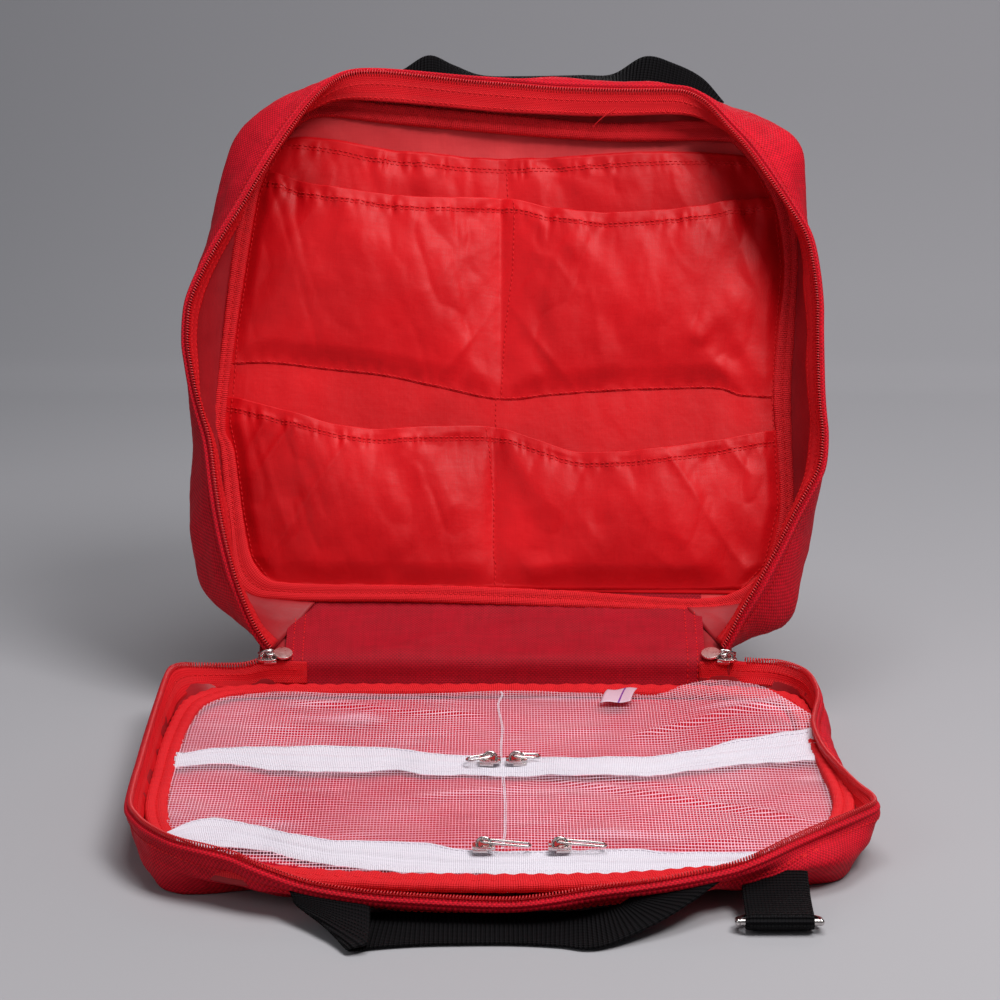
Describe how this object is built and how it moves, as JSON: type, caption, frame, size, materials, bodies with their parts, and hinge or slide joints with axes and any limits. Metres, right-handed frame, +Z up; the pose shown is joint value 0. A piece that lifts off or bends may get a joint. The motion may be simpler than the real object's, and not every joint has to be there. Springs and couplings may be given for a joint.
{
  "type": "trauma backpack",
  "caption": "Clamshell trauma backpack shown open: padded front and back halves joined by a folding gusset, with zipped mesh pockets, open inner pockets, carry handles and shoulder straps.",
  "frame": {"origin": "centre of the front half's outer face, which rests on the ground when the bag lies open", "axes": "+Z up from the ground, +Y from the front handle towards the back half, +X to the right"},
  "size_m": [0.33, 0.5847, 0.3386],
  "materials": {
    "red_coated_weave": "coarse coated plain weave, satin",
    "red_pocket_nylon": "thin shiny nylon",
    "red_binding_tape": "ribbed binding tape",
    "red_zipper_tape": "herringbone zipper tape",
    "red_nylon_coil": "semi-gloss nylon coil",
    "white_mesh": "open knitted mesh",
    "white_zipper_tape": "woven zipper tape",
    "white_nylon_coil": "semi-gloss nylon coil",
    "black_webbing": "ribbed webbing, matt",
    "nickel_hardware": "nickel plate, polished",
    "white_label": "satin label",
    "black_padding": "padded strap fabric, matt",
    "black_acetal": "moulded buckle, matt"
  },
  "bodies": {
    "front_half": {"front_panel": "red_coated_weave", "front_gusset": "red_coated_weave", "front_zipper_tape": "red_zipper_tape", "front_zipper_coil": "red_nylon_coil", "front_seam_binding": "red_binding_tape", "hinge_panel_lower": "red_coated_weave", "mesh_rear": "white_mesh", "mesh_middle": "white_mesh", "mesh_front": "white_mesh", "upper_pocket_zipper_tape": "white_zipper_tape", "upper_pocket_zipper_coil": "white_nylon_coil", "lower_pocket_zipper_tape": "white_zipper_tape", "lower_pocket_zipper_coil": "white_nylon_coil", "front_handle_ends": "black_webbing", "d_ring_tab": "black_webbing", "label_tag": "white_label"},
    "hinge_strip": {"hinge_panel": "red_coated_weave", "main_zipper_ends": "red_zipper_tape", "main_slider_left": "nickel_hardware", "main_slider_right": "nickel_hardware"},
    "back_half": {"back_panel": "red_coated_weave", "back_gusset": "red_coated_weave", "back_zipper_tape": "red_zipper_tape", "back_zipper_coil": "red_nylon_coil", "back_seam_binding": "red_binding_tape", "rear_pocket": "red_pocket_nylon", "upper_pocket": "red_pocket_nylon", "lower_pocket": "red_pocket_nylon", "back_handle_ends": "black_webbing", "harness_yoke": "black_padding", "shoulder_strap_left": "black_padding", "shoulder_strap_right": "black_padding", "lower_strap_left": "black_webbing", "lower_strap_right": "black_webbing", "ladder_lock_left": "black_acetal", "ladder_lock_right": "black_acetal", "lower_strap_anchors": "black_webbing"},
    "front_handle": {"front_handle": "black_webbing"},
    "back_handle": {"back_handle": "black_webbing"},
    "d_ring": {"d_ring": "nickel_hardware"},
    "main_pull_left": {"main_pull_left": "nickel_hardware"},
    "main_pull_right": {"main_pull_right": "nickel_hardware"},
    "upper_slider_left": {"upper_slider_left": "nickel_hardware"},
    "upper_pull_left": {"upper_pull_left": "nickel_hardware"},
    "upper_slider_right": {"upper_slider_right": "nickel_hardware"},
    "upper_pull_right": {"upper_pull_right": "nickel_hardware"},
    "lower_slider_left": {"lower_slider_left": "nickel_hardware"},
    "lower_pull_left": {"lower_pull_left": "nickel_hardware"},
    "lower_slider_right": {"lower_slider_right": "nickel_hardware"},
    "lower_pull_right": {"lower_pull_right": "nickel_hardware"}
  },
  "joints": [
    {"name": "lid_fold", "type": "hinge", "parent": "front_half", "child": "hinge_strip", "pos_m": [0, 0.15, 0.032], "axis": [1, 0, 0], "range_deg": [-39, 71.5]},
    {"name": "back_fold", "type": "hinge", "parent": "hinge_strip", "child": "back_half", "pos_m": [0, 0.19755, 0.04745], "axis": [1, 0, 0], "range_deg": [-23.84, 43.7]},
    {"name": "front_handle_swing", "type": "hinge", "parent": "front_half", "child": "front_handle", "pos_m": [0, -0.1535, 0.002], "axis": [1, 0, 0], "range_deg": [-88, 0]},
    {"name": "back_handle_swing", "type": "hinge", "parent": "back_half", "child": "back_handle", "pos_m": [0, 0.31284, 0.32945], "axis": [-1, 0, 0], "range_deg": [-125, 20]},
    {"name": "d_ring_swing", "type": "hinge", "parent": "front_half", "child": "d_ring", "pos_m": [0.124, -0.172, 0.0052], "axis": [-1, 0, 0], "range_deg": [0, 250]},
    {"name": "upper_slider_left_travel", "type": "slide", "parent": "front_half", "child": "upper_slider_left", "axis": [-1, 0, 0], "range_m": [0, 0.125]},
    {"name": "upper_pull_left_swing", "type": "hinge", "parent": "upper_slider_left", "child": "upper_pull_left", "pos_m": [-0.0065, 0.012, 0.02415], "axis": [0, 1, 0], "range_deg": [0, 160]},
    {"name": "upper_slider_right_travel", "type": "slide", "parent": "front_half", "child": "upper_slider_right", "axis": [1, 0, 0], "range_m": [0, 0.125]},
    {"name": "upper_pull_right_swing", "type": "hinge", "parent": "upper_slider_right", "child": "upper_pull_right", "pos_m": [0.0065, 0.012, 0.02415], "axis": [0, -1, 0], "range_deg": [0, 160]},
    {"name": "lower_slider_left_travel", "type": "slide", "parent": "front_half", "child": "lower_slider_left", "axis": [-1, 0, 0], "range_m": [0, 0.108]},
    {"name": "lower_pull_left_swing", "type": "hinge", "parent": "lower_slider_left", "child": "lower_pull_left", "pos_m": [-0.009, -0.116, 0.02415], "axis": [0, -1, 0], "range_deg": [0, 160]},
    {"name": "lower_slider_right_travel", "type": "slide", "parent": "front_half", "child": "lower_slider_right", "axis": [1, 0, 0], "range_m": [0, 0.091]},
    {"name": "lower_pull_right_swing", "type": "hinge", "parent": "lower_slider_right", "child": "lower_pull_right", "pos_m": [0.026, -0.116, 0.02415], "axis": [0, -1, 0], "range_deg": [0, 160]},
    {"name": "main_pull_left_swing", "type": "hinge", "parent": "hinge_strip", "child": "main_pull_left", "pos_m": [-0.1202, 0.15306, 0.03941], "axis": [0, -0.9511, -0.309], "range_deg": [0, 105]},
    {"name": "main_pull_right_swing", "type": "hinge", "parent": "hinge_strip", "child": "main_pull_right", "pos_m": [0.1202, 0.15306, 0.03941], "axis": [0, 0.9511, 0.309], "range_deg": [0, 105]}
  ],
  "couplings": [
    {"joint": "back_fold", "follows": "lid_fold", "ratio": 0.611}
  ]
}
